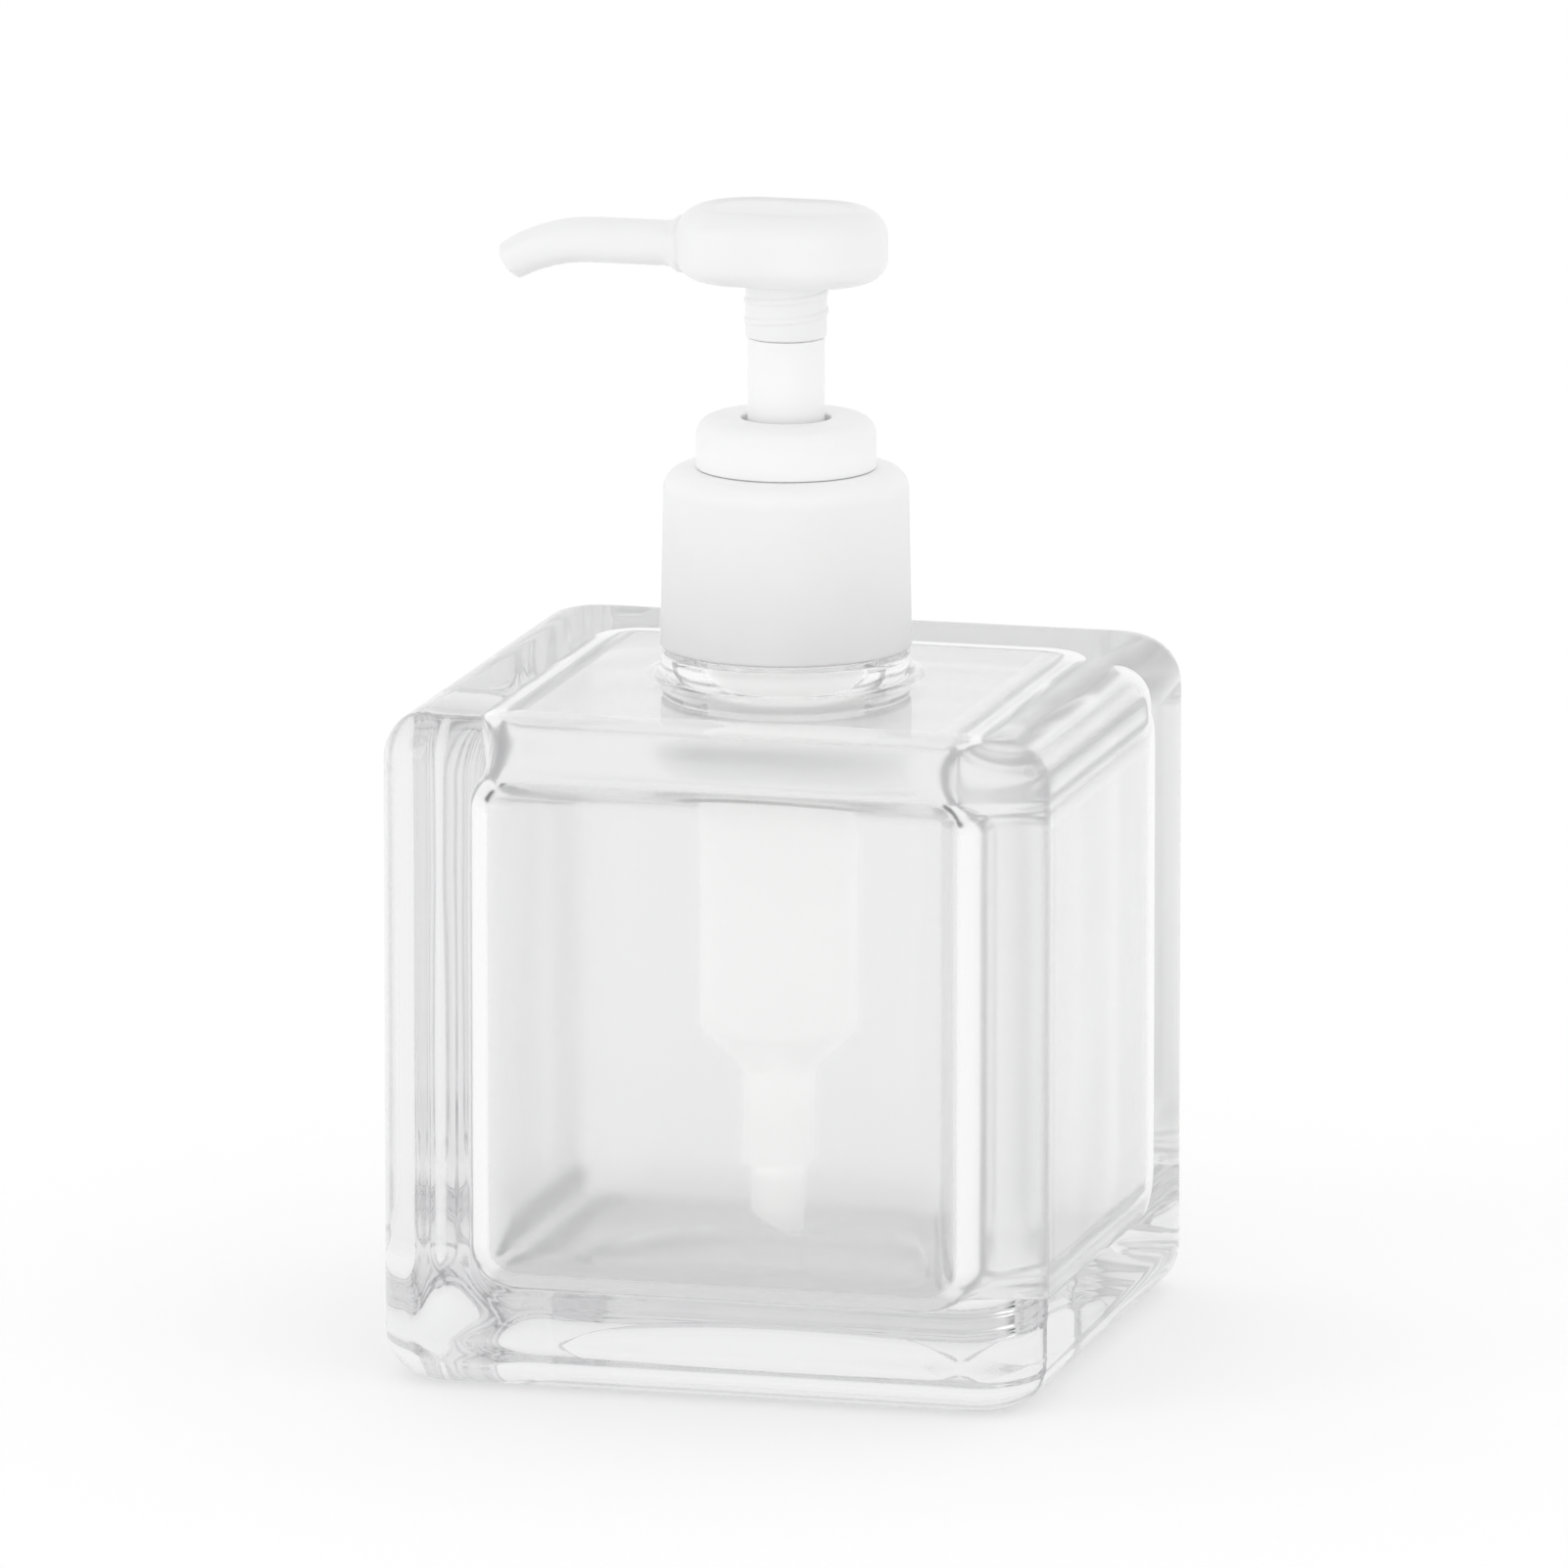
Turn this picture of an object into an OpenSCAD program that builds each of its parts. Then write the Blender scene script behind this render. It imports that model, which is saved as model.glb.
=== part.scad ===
// Soap pump dispenser: a square, thick-walled clear bottle with a 28/410 neck,
// closed by a screw-down lotion pump with a swivelling head. Millimetres, +Z up,
// origin at the centre of the base. The spout points along -X.

/* [Bottle] */
// Width and depth of the square bottle body
bottle_w = 83; // [78:0.5:90]
// Height of the bottle body, from the base to the flat shoulder
bottle_h = 82.5; // [80:0.5:84]
// Radius of the four upright corners, seen from above
corner_r = 9; // [7:0.5:11]
// Radius of the edges round the shoulder and round the base
edge_r = 6; // [4:0.5:6.5]
// Thickness of the four side walls
wall_t = 10; // [8:0.5:12]
// Thickness of the base
base_t = 10.7; // [9:0.1:13]
// Thickness of the shoulder
shoulder_t = 7; // [6:0.5:9]

/* [Neck] */
// Bore of the neck
neck_bore_d = 20.6; // [20.4:0.1:21.4]
// Diameter of the neck between the turns of its thread
neck_root_d = 25.2; // [25:0.1:25.4]
// Diameter over the neck's thread
neck_thread_d = 27.3; // [27:0.1:27.5]
// Rise of the neck's thread in one turn
neck_pitch = 4.23; // [4.2:0.01:4.3]
// Height of the mouth of the neck above the base
neck_top = 103.9; // [103.5:0.1:104.2]

/* [Closure] */
// Diameter of the closure at its lower rim
closure_d = 30.7; // [30.4:0.1:31.5]
// Diameter of the closure at its top
closure_top_d = 29.9; // [29.6:0.1:30.7]
// Height of the closure's lower rim above the base
closure_z = 85.9; // [85.6:0.1:87]

/* [Pump] */
// Bore of the pump's cylinder
cylinder_bore_d = 16.5; // [16:0.1:16.6]
// Outside diameter of the pump's cylinder
cylinder_d = 19; // [18.8:0.1:19.2]
// Diameter of the sliding stem
stem_d = 9.4; // [9:0.1:9.5]
// Wire of the return spring
wire_d = 1; // [0.8:0.1:1.1]
// Outside diameter of the dip tube
dip_tube_d = 6.4; // [5.6:0.1:6.4]

/* [Head] */
// Width of the pebble-shaped head, across the spout
head_w = 19; // [17:0.5:21]
// Height of the head
head_h = 9; // [8:0.1:9.5]
// Outside diameter of the spout
spout_d = 5.6; // [5:0.1:6]
// Bore of the spout
spout_bore_d = 3.4; // [2.4:0.1:3.6]

/* [Hidden] */
$fn = 96;

eps = 0.01;          // overlap that makes a cut or a joint between two solids clean
slip = 0.05;         // radial clearance of a running fit
gap = 0.1;           // clearance between faces that move past each other

cavity_w = bottle_w - 2 * wall_t;
cavity_top = bottle_h - shoulder_t;
cavity_corner_r = 6.5;
cavity_edge_r = 5.5;
boss_r = 15.2;                       // plain ring of the neck, just under the closure
boss_z = closure_z - 0.7;
boss_flare = 2;                      // fillet from that ring down to the shoulder
punt_r = 25;                         // shallow round recess under the base
punt_h = 1;
neck_thread_z = 95.2;                // where the lowest turn of the neck's thread starts
neck_thread_turns = 1.5;
neck_ridge_w = 2.2;                  // width of the neck's ridge at its foot
neck_tip_w = 1;                      // and at its crest

gasket_t = 1.2;
flange_t = 1.3;
flange_r = 12.3;
flange_z = neck_top + gasket_t;
closure_roof_z = flange_z + flange_t + gap;
closure_roof_t = 1.4;
closure_top = closure_roof_z + closure_roof_t;
closure_bore_r = 13.9;
closure_round_r = 2.6;               // rounded shoulder of the closure
closure_rim_h = 0.5;                 // chamfer of its lower rim
closure_rim_w = 0.4;
closure_cone_h = 1.2;                // slope between its bore and its roof
closure_roof_r = cylinder_d / 2 + 0.15;
closure_thread_turns = 1.25;
closure_ridge_w = 1.8;
closure_tip_w = 0.8;
closure_crest_gap = 0.3;             // between its crest and the neck
closure_thread_start = 60;           // degrees round from where the neck's thread starts
thread_drop = 1.65;                  // how far the closure's ridge runs under the neck's
closure_thread_z = neck_thread_z + neck_pitch * closure_thread_start / 360 - thread_drop;

chaplet_z = closure_top + gap;       // the ring that stands on the closure
chaplet_h = 6.2;
chaplet_top = chaplet_z + chaplet_h;
chaplet_r = 11;
chaplet_round_r = 2.2;
chaplet_roof_t = 1.4;
guide_r = stem_d / 2 + 0.15;         // bore that guides the stem
guide_z = 100;
guide_top = 106.5;
guide_wall = 2.05;
guide_foot_h = 2;                    // wide foot that centres the guide in the cylinder
wiper_h = 1.1;
lock_bore_r = 5.45;                  // threaded mouth of the chaplet
lock_pitch = 2.4;
lock_thread_z = 108.4;
lock_thread_turns = 1.25;
lock_crest_r = 5.15;                 // crest of the sleeve's ridge
lock_ridge_w = 0.9;                  // width of both ridges at their foot
lock_tip_w = 0.5;                    // and at their crest
lock_crest_gap = 0.07;               // between the ring's crest and the sleeve

stem_r = stem_d / 2;
stem_foot_z = 98.9;
stem_bore_r = 3;                     // takes the rod's upper tube
stem_bore_h = 10;
stem_channel_r = 2;                  // soap channel, from the rod up into the head
sleeve_z = 124.1;                    // lower end of the head's threaded sleeve
sleeve_r = 4.95;
spigot_r = 3.3;                      // slim top of the stem, inside the head
spigot_top = 133;
bead_z = 130.4;                      // snap bead that holds the head on the spigot
bead_r = 0.25;
socket_top_gap = 0.2;                // over the spigot's end, in the head's socket

rod_foot_z = 82;
rod_foot_r = 3.4;                    // foot that centres the spring
rod_foot_chamfer = 1;
rod_flange_z = 91;
rod_flange_r = 6.2;
rod_flange_t = 1.4;
rod_cone_r = 5;                      // upper edge of the cone that the seal closes on
rod_neck_r = 2.98;
rod_fit = 0.07;                      // clearance of the seal round the rod's neck
rod_top = 107.5;
rod_bore_r = 1.7;
port_r = 0.45;                       // the two cross holes that let the soap in
port_reach = 12;
seal_z = 94;                         // underside of the piston seal's hub, on its seat
seal_hub_r = 4.6;
seal_hub_h = 3.9;
seal_web_z = seal_z + 1.4;
seal_web_t = 1.4;
seal_lip_low = seal_z - 0.8;
seal_lip_top = seal_z + 4.7;
seal_lip_t = 0.5;
seal_r = cylinder_bore_d / 2 - gap;

retainer_z = 46.6;
retainer_t = 2.4;
retainer_hole_r = 3.9;
retainer_bar_w = 1.4;                // bar across that hole, just over the ball
retainer_bar_l = 8.4;
ball_r = 2.8;
ball_z = 40.1;
ball_pocket_r = 3.4;
ball_pocket_z = 39.5;                // where the pocket's wall starts, over the ball's seat
ball_pocket_top = 44.5;
seat_r = 1.9;                        // inlet hole that the ball closes
seat_z = 38;
ledge_z = 46.5;                      // ledge in the cylinder, under the retainer
ledge_w = 1;
socket_z = 22;                       // lower end of the dip tube's socket
socket_wall = 1;
socket_top = 35;
funnel_z = 34;                       // outside cone between the socket and the cylinder
funnel_top = 39;
tube_foot_z = 13.2;
tube_wall = 0.9;
tube_cut = 25;                       // slant of the tube's foot, in degrees
tube_cut_low = 10;                   // depth of the block that cuts it

spring_r = 5.1;                      // middle of the wire
spring_z = retainer_z + retainer_t;
spring_turns = 11;
spring_dead_turns = 1;               // closed turns at each end

head_z = 131;
head_left = -4.1;                    // centres of the head's two round ends, along X
head_right = 3;
head_r = head_w / 2;
head_low_round = 3;
head_top_round = 3.6;
head_crown_r = 46;                   // gentle crown across the top
head_skin = 1.4;
socket_boss_r = 4.6;                 // boss round the spigot, inside the head
socket_boss_h = 5.9;
sleeve_thread_turns = 2.2;
sleeve_thread_z = sleeve_z + 0.7;
spout_z = 134.9;
spout_straight = 24.1;               // where the spout starts to bend down
spout_bend_r = 20;
spout_bend = 33;                     // how far it bends, in degrees

// Upright section of a block's rim, r wide, with its upper and lower outer corners rounded to e.
module rim_section(r, z0, z1, e) {
    translate([0, z0]) square([r - e, z1 - z0]);
    translate([0, z0 + e]) square([r, z1 - z0 - 2 * e]);
    for (z = [z0 + e, z1 - e]) translate([r - e, z]) circle(e);
}

// The same section without what its circles would add on the far side of x = 0.
module rim_half(r, z0, z1, e) {
    intersection() {
        rim_section(r, z0, z1, e);
        translate([0, z0 - 1]) square([r + 1, z1 - z0 + 2]);
    }
}

// A square block with upright corners of radius r and rounded upper and lower edges of radius e:
// a core, four straight rims and four turned corners that meet face to face.
module rounded_block(w, z0, z1, r, e) {
    run = w - 2 * r;
    translate([-run / 2, -run / 2, z0]) cube([run, run, z1 - z0]);
    for (turn = [0 : 90 : 270]) rotate([0, 0, turn]) {
        translate([run / 2, run / 2, 0]) rotate([90, 0, 0])
            linear_extrude(run) rim_half(r, z0, z1, e);
        translate([run / 2, run / 2, 0]) rotate_extrude(angle = 90) rim_half(r, z0, z1, e);
    }
}

// A plain ring or tube from z0 to z1.
module tube(r_out, r_in, z0, z1) {
    difference() {
        translate([0, 0, z0]) cylinder(r = r_out, h = z1 - z0);
        translate([0, 0, z0 - eps]) cylinder(r = r_in, h = z1 - z0 + 2 * eps);
    }
}

// Faces that join rings of n points one after another, and close both ends.
function sweep_faces(rings, n) = concat(
    [[for (j = [n - 1 : -1 : 0]) j]],
    [for (i = [0 : rings - 2], j = [0 : n - 1])
        [i * n + j, i * n + (j + 1) % n, (i + 1) * n + (j + 1) % n, (i + 1) * n + j]],
    [[for (j = [0 : n - 1]) (rings - 1) * n + j]]);

function flipped(faces) = [for (f = faces) [for (k = [len(f) - 1 : -1 : 0]) f[k]]];

function around(r, a, z) = [r * cos(a), r * sin(a), z];

// A right-handed thread ridge. It stands from root_r to crest_r, which is the smaller for an
// inner thread, fades in and out over a sixth of a turn, and is sunk a little into its wall.
module thread_ridge(root_r, crest_r, root_w, crest_w, pitch, turns, z, start = 0) {
    per_turn = 30;
    sink = 0.25;
    side = crest_r > root_r ? 1 : -1;
    last = round(per_turn * turns);
    lead = per_turn / 6;
    pts = [for (i = [0 : last])
        let (a = start + 360 * i / per_turn,
             h = z + pitch * i / per_turn,
             rise = max(0.04, min(1, i / lead, (last - i) / lead)),
             crest = root_r + (crest_r - root_r) * rise)
        each [around(root_r - side * sink, a, h - root_w / 2), around(crest, a, h - crest_w / 2),
              around(crest, a, h + crest_w / 2), around(root_r - side * sink, a, h + root_w / 2)]];
    faces = sweep_faces(last + 1, 4);
    polyhedron(pts, side > 0 ? faces : flipped(faces), convexity = 8);
}

// Bottle: block, cavity, neck and the shallow recess under the base.
module bottle() {
    color([0.9, 0.92, 0.94, 0.35]) {
        difference() {
            union() {
                rounded_block(bottle_w, 0, bottle_h, corner_r, edge_r);
                translate([0, 0, bottle_h - 1]) cylinder(r = boss_r, h = boss_z - bottle_h + 1);
                neck_flare();
                translate([0, 0, boss_z - eps]) cylinder(d = neck_root_d, h = neck_top - boss_z + eps);
            }
            rounded_block(cavity_w, base_t, cavity_top, cavity_corner_r, cavity_edge_r);
            translate([0, 0, cavity_top - 1]) cylinder(d = neck_bore_d, h = neck_top - cavity_top + 2);
            translate([0, 0, -eps]) cylinder(r1 = punt_r, r2 = punt_r - 2 * punt_h, h = punt_h + eps);
        }
        thread_ridge(neck_root_d / 2, neck_thread_d / 2, neck_ridge_w, neck_tip_w, neck_pitch,
            neck_thread_turns, neck_thread_z);
    }
}

// The concave fillet between the shoulder and the neck's plain ring.
module neck_flare() {
    rotate_extrude() difference() {
        translate([neck_bore_d / 2 + 1, bottle_h - 1])
            square([boss_r + boss_flare - neck_bore_d / 2 - 1, boss_flare + 1]);
        translate([boss_r + boss_flare, bottle_h + boss_flare]) circle(boss_flare);
    }
}

// Screw closure: a tapered cap with a rounded shoulder, open on top round the pump's cylinder.
module closure() {
    round_at = [closure_top_d / 2 - closure_round_r, closure_top - closure_round_r];
    cone_z = closure_roof_z - closure_cone_h;
    color("white") {
        difference() {
            rotate_extrude() {
                polygon([[0, closure_z + closure_rim_h], [0, closure_top], [round_at[0], closure_top],
                    [closure_top_d / 2, round_at[1]], [closure_d / 2, closure_z + closure_rim_h],
                    [closure_d / 2 - closure_rim_w, closure_z], [closure_bore_r - 1, closure_z]]);
                translate(round_at) intersection() {
                    circle(closure_round_r);
                    square(closure_round_r);
                }
            }
            translate([0, 0, closure_z - 1]) cylinder(r = closure_bore_r, h = cone_z - closure_z + 1);
            translate([0, 0, cone_z - eps])
                cylinder(r1 = closure_bore_r, r2 = closure_bore_r - closure_cone_h,
                    h = closure_cone_h + eps);
            translate([0, 0, closure_roof_z - 1]) cylinder(r = closure_roof_r, h = closure_roof_t + 2);
        }
        thread_ridge(closure_bore_r, neck_root_d / 2 + closure_crest_gap, closure_ridge_w, closure_tip_w,
            neck_pitch, closure_thread_turns, closure_thread_z, start = closure_thread_start);
    }
}

// Foam ring between the mouth of the neck and the pump's flange.
module neck_gasket() {
    color("whitesmoke") tube(flange_r, cylinder_d / 2 + gap, neck_top, flange_z);
}

// Cylinder of the pump, with its flange on the gasket, the ball's pocket and the dip tube's socket.
module pump_housing() {
    out_r = cylinder_d / 2;
    in_r = cylinder_bore_d / 2;
    socket_r = dip_tube_d / 2 + socket_wall;
    rim = chaplet_top - chaplet_roof_t - 4 * gap;
    color([0.95, 0.95, 0.95, 0.8]) difference() {
        union() {
            rotate_extrude() polygon([[0, socket_z], [socket_r, socket_z], [socket_r, funnel_z],
                [out_r, funnel_top], [out_r, rim], [0, rim]]);
            translate([0, 0, flange_z]) cylinder(r = flange_r, h = flange_t);
        }
        rotate_extrude() polygon([[0, socket_top + 2 * eps], [seat_r, socket_top], [seat_r, seat_z],
            [ball_pocket_r, ball_pocket_z], [ball_pocket_r, ball_pocket_top], [in_r - ledge_w, ledge_z],
            [in_r, ledge_z], [in_r, rim + 1], [0, rim + 1]]);
        translate([0, 0, socket_top - 1]) cylinder(r = seat_r, h = 3);
        translate([0, 0, socket_z - eps]) cylinder(d = dip_tube_d, h = socket_top - socket_z + eps);
    }
}

// Ring that caps the pump's cylinder: it guides the stem, and its mouth takes the head's lock thread.
module chaplet() {
    in_r = cylinder_bore_d / 2 - gap;
    skirt_in = cylinder_d / 2 + gap;
    guide_out = guide_r + guide_wall;
    color("white") {
        difference() {
            union() {
                difference() {
                    rotate_extrude() {
                        translate([0, chaplet_z]) square([chaplet_r, chaplet_h - chaplet_round_r]);
                        translate([0, chaplet_z]) square([chaplet_r - chaplet_round_r, chaplet_h]);
                        translate([chaplet_r - chaplet_round_r, chaplet_top - chaplet_round_r])
                            circle(chaplet_round_r);
                    }
                    translate([0, 0, chaplet_z - 1])
                        cylinder(r = skirt_in, h = chaplet_h - chaplet_roof_t + 1);
                }
                translate([0, 0, guide_z])
                    cylinder(r = guide_out, h = chaplet_top - chaplet_roof_t - guide_z + eps);
                translate([0, 0, guide_z]) cylinder(r = in_r, h = guide_foot_h);
            }
            translate([0, 0, guide_z - 1]) cylinder(r = guide_r, h = guide_top - guide_z + 2);
            translate([0, 0, guide_top]) cylinder(r = lock_bore_r, h = chaplet_top - guide_top + 1);
        }
        thread_ridge(lock_bore_r, sleeve_r + lock_crest_gap, lock_ridge_w, lock_tip_w, lock_pitch,
            lock_thread_turns, lock_thread_z);
    }
}

// Soft ring that wipes the stem, at the bottom of the chaplet's mouth.
module stem_wiper() {
    color("whitesmoke") tube(lock_bore_r - 2 * eps, stem_r + slip, guide_top, guide_top + wiper_h);
}

// Hollow stem: it slides in the chaplet, and the head turns on its slim upper end.
module stem() {
    shoulder = sleeve_z - gap;
    color("white") difference() {
        union() {
            translate([0, 0, stem_foot_z]) cylinder(r = stem_r, h = shoulder - stem_foot_z);
            translate([0, 0, shoulder - eps]) cylinder(r = spigot_r, h = spigot_top - shoulder + eps);
            translate([0, 0, bead_z]) rotate_extrude() translate([spigot_r, 0]) circle(bead_r);
        }
        translate([0, 0, stem_foot_z - 1]) cylinder(r = stem_bore_r, h = stem_bore_h + 1);
        translate([0, 0, stem_foot_z]) cylinder(r = stem_channel_r, h = spigot_top - stem_foot_z + 1);
    }
}

// Rod under the stem: its upper tube is pressed into the stem, its cone is the seat of the piston
// seal, and its foot centres the spring. Two cross holes let the soap into the stem.
module piston_rod() {
    color("white") difference() {
        rotate_extrude() polygon([[0, rod_foot_z], [rod_foot_r - rod_foot_chamfer, rod_foot_z],
            [rod_foot_r, rod_foot_z + rod_foot_chamfer], [rod_foot_r, rod_flange_z],
            [rod_flange_r, rod_flange_z], [rod_flange_r, rod_flange_z + rod_flange_t],
            [rod_cone_r, seal_z - 2 * gap], [rod_neck_r, seal_z - 2 * gap],
            [rod_neck_r, rod_top], [0, rod_top]]);
        translate([0, 0, seal_z]) cylinder(r = rod_bore_r, h = rod_top - seal_z + 1);
        for (turn = [0, 90]) rotate([0, 0, turn]) translate([0, 0, seal_z + port_r]) rotate([0, 90, 0])
            cylinder(r = port_r, h = port_reach, center = true);
    }
}

// Piston seal: a hub round the rod's neck, a web, and a lip that wipes the cylinder both ways.
module piston_seal() {
    bore_r = rod_neck_r + rod_fit;
    lip_r = seal_r - seal_lip_t;
    web_r = lip_r - seal_lip_t;
    web_top = seal_web_z + seal_web_t;
    hub_top = seal_z + seal_hub_h;
    color("ivory") rotate_extrude() polygon([[bore_r, seal_z], [seal_hub_r, seal_z],
        [seal_hub_r, seal_web_z], [web_r, seal_web_z], [lip_r, seal_lip_low], [seal_r, seal_lip_low],
        [seal_r, seal_lip_top], [lip_r, seal_lip_top], [web_r, web_top], [seal_hub_r, web_top],
        [seal_hub_r, hub_top], [bore_r, hub_top]]);
}

// Height of the spring's wire after t turns: closed turns at both ends and an even rise between.
function spring_height(t) = let (
    low = spring_z + wire_d / 2,
    high = rod_flange_z - wire_d / 2,
    closed = wire_d * 1.02 * spring_dead_turns,
    share = (t - spring_dead_turns) / (spring_turns - 2 * spring_dead_turns))
    t < spring_dead_turns ? low + wire_d * 1.02 * t :
    t > spring_turns - spring_dead_turns ? high - wire_d * 1.02 * (spring_turns - t) :
    low + closed + (high - low - 2 * closed) * share;

// Return spring: a round wire along its helix.
module return_spring() {
    per_turn = 24;
    sides = 8;
    last = per_turn * spring_turns;
    pts = [for (i = [0 : last], k = [0 : sides - 1])
        let (a = 360 * k / sides)
        around(spring_r + wire_d / 2 * cos(a), 360 * i / per_turn,
            spring_height(i / per_turn) + wire_d / 2 * sin(a))];
    color("silver") polyhedron(pts, sweep_faces(last + 1, sides), convexity = 12);
}

// Washer that carries the spring, with a bar across its hole that keeps the ball in its pocket.
module ball_retainer() {
    color("white") {
        tube(cylinder_bore_d / 2 - gap, retainer_hole_r, retainer_z, retainer_z + retainer_t);
        translate([0, 0, retainer_z + retainer_bar_w / 2])
            cube([retainer_bar_l, retainer_bar_w, retainer_bar_w], center = true);
    }
}

// Ball that shuts the inlet while the plunger goes down.
module inlet_ball() {
    color("lightsteelblue") translate([0, 0, ball_z]) sphere(r = ball_r);
}

// Dip tube, cut slanting at its foot so that it can't seal against the bottle's floor.
module dip_tube() {
    block = 2 * tube_cut_low;
    color([0.95, 0.95, 0.95, 0.7]) difference() {
        tube(dip_tube_d / 2 - eps, dip_tube_d / 2 - tube_wall, tube_foot_z, socket_top - 2 * gap);
        translate([0, 0, tube_foot_z + dip_tube_d / 2 * tan(tube_cut)]) rotate([0, tube_cut, 0])
            translate([-block / 2, -block / 2, -tube_cut_low]) cube([block, block, tube_cut_low]);
    }
}

// The spout's path as a solid of radius r: a straight run along -X, then a bend downwards.
module spout_path(r, bend) {
    translate([0, 0, spout_z]) rotate([0, -90, 0]) cylinder(r = r, h = spout_straight);
    translate([-spout_straight, 0, spout_z - spout_bend_r]) rotate([90, 0, 0]) rotate([0, 0, 90])
        rotate_extrude(angle = bend) translate([spout_bend_r, 0]) circle(r);
}

// Half of the head's section: flat foot, rounded lower and upper edges, crowned top.
module head_section(r, z0, z1, low, high) {
    intersection() {
        union() {
            translate([0, z0]) square([r - low, low + eps]);
            translate([0, z0 + low]) square([r, z1 - z0 - low - high]);
            translate([0, z1 - high - eps]) square([r - high, high + eps]);
            translate([r - low, z0 + low]) circle(low);
            translate([r - high, z1 - high]) circle(high);
        }
        translate([0, z1 - head_crown_r]) circle(head_crown_r, $fn = 256);
        translate([0, z0 - 1]) square([r + 1, z1 - z0 + 2]);
    }
}

// The head's pebble: two turned ends with a straight run between them.
module pebble(r, z0, z1, low, high) {
    for (x = [head_left, head_right]) translate([x, 0, 0])
        rotate_extrude() head_section(r, z0, z1, low, high);
    translate([head_left, 0, 0]) rotate([90, 0, 90]) linear_extrude(head_right - head_left) {
        head_section(r, z0, z1, low, high);
        mirror([1, 0]) head_section(r, z0, z1, low, high);
    }
}

// A flat plate with two round ends, under the pebble.
module stadium(r, z0, z1) {
    for (x = [head_left, head_right]) translate([x, 0, z0]) cylinder(r = r, h = z1 - z0);
    translate([head_left, -r, z0]) cube([head_right - head_left, 2 * r, z1 - z0]);
}

// Actuator: spout, soap channel, socket for the stem, foot plate and threaded lock sleeve.
module actuator() {
    color("white") {
        difference() {
            union() {
                translate([0, 0, sleeve_z]) cylinder(r = sleeve_r, h = head_z - sleeve_z + 1);
                stadium(head_r - head_low_round - 0.1, head_z, head_z + head_skin);
                translate([0, 0, head_z]) cylinder(r = socket_boss_r, h = socket_boss_h);
                spout_path(spout_d / 2, spout_bend);
            }
            translate([0, 0, sleeve_z - 1])
                cylinder(r = spigot_r + slip, h = spigot_top + socket_top_gap - sleeve_z + 1);
            translate([0, 0, sleeve_z - 1]) cylinder(r = stem_channel_r, h = spout_z - sleeve_z + 1);
            translate([0, 0, bead_z]) rotate_extrude() translate([spigot_r + slip, 0]) circle(bead_r + slip);
            spout_path(spout_bore_d / 2, spout_bend + 2);
        }
        thread_ridge(sleeve_r, lock_crest_r, lock_ridge_w, lock_tip_w, lock_pitch,
            sleeve_thread_turns, sleeve_thread_z);
    }
}

// Hollow pebble that clips over the actuator, with a hole for the spout.
module head_cover() {
    color("white") difference() {
        pebble(head_r, head_z, head_z + head_h, head_low_round, head_top_round);
        pebble(head_r - head_skin, head_z + head_skin, head_z + head_h - head_skin,
            head_low_round - head_skin, head_top_round - head_skin);
        stadium(head_r - head_low_round, head_z - 1, head_z + head_skin + 1);
        translate([0, 0, spout_z]) rotate([0, -90, 0]) cylinder(r = spout_d / 2 + 0.05, h = 20);
    }
}

bottle();
closure();
neck_gasket();
pump_housing();
chaplet();
stem_wiper();
stem();
piston_rod();
piston_seal();
return_spring();
ball_retainer();
inlet_ball();
dip_tube();
actuator();
head_cover();
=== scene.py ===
"""A square clear glass bottle with a white lotion pump, drawn as smooth surfaces over its CAD frame."""
import math

import bmesh
import bpy
import numpy as np
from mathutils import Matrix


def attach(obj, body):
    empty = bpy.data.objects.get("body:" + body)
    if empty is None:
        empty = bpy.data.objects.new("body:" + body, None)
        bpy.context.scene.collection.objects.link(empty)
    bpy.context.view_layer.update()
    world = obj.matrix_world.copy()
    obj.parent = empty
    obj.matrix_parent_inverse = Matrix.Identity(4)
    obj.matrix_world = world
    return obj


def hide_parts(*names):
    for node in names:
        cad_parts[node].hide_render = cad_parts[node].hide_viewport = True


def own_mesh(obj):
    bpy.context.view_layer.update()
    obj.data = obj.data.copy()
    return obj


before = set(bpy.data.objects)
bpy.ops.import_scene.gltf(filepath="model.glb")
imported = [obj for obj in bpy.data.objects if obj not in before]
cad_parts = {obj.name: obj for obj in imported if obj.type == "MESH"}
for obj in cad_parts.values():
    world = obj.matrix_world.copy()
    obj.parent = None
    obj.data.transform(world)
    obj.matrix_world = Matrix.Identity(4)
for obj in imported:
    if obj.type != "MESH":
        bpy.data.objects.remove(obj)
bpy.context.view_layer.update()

MM = 0.001
ARC_STEPS = 7
SOFT_EDGE = 0.25     # how far from a rounded edge the flat beside it gets its extra row, in mm
ON_WALL = 0.06       # a point this near to a threaded wall's radius lies on it, in mm
THREAD_STEP = 0.2    # height between the rows that a thread is raised on, in mm
FADE_TURNS = 1 / 6   # a thread's ridge comes up out of its wall over this share of a turn
SAME_POINT = 2e-7    # points nearer than this are one, in metres
NO_LENGTH = 1e-8     # edges shorter than this are taken out, in metres


# ---------------------------------------------------------------- shapes


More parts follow.
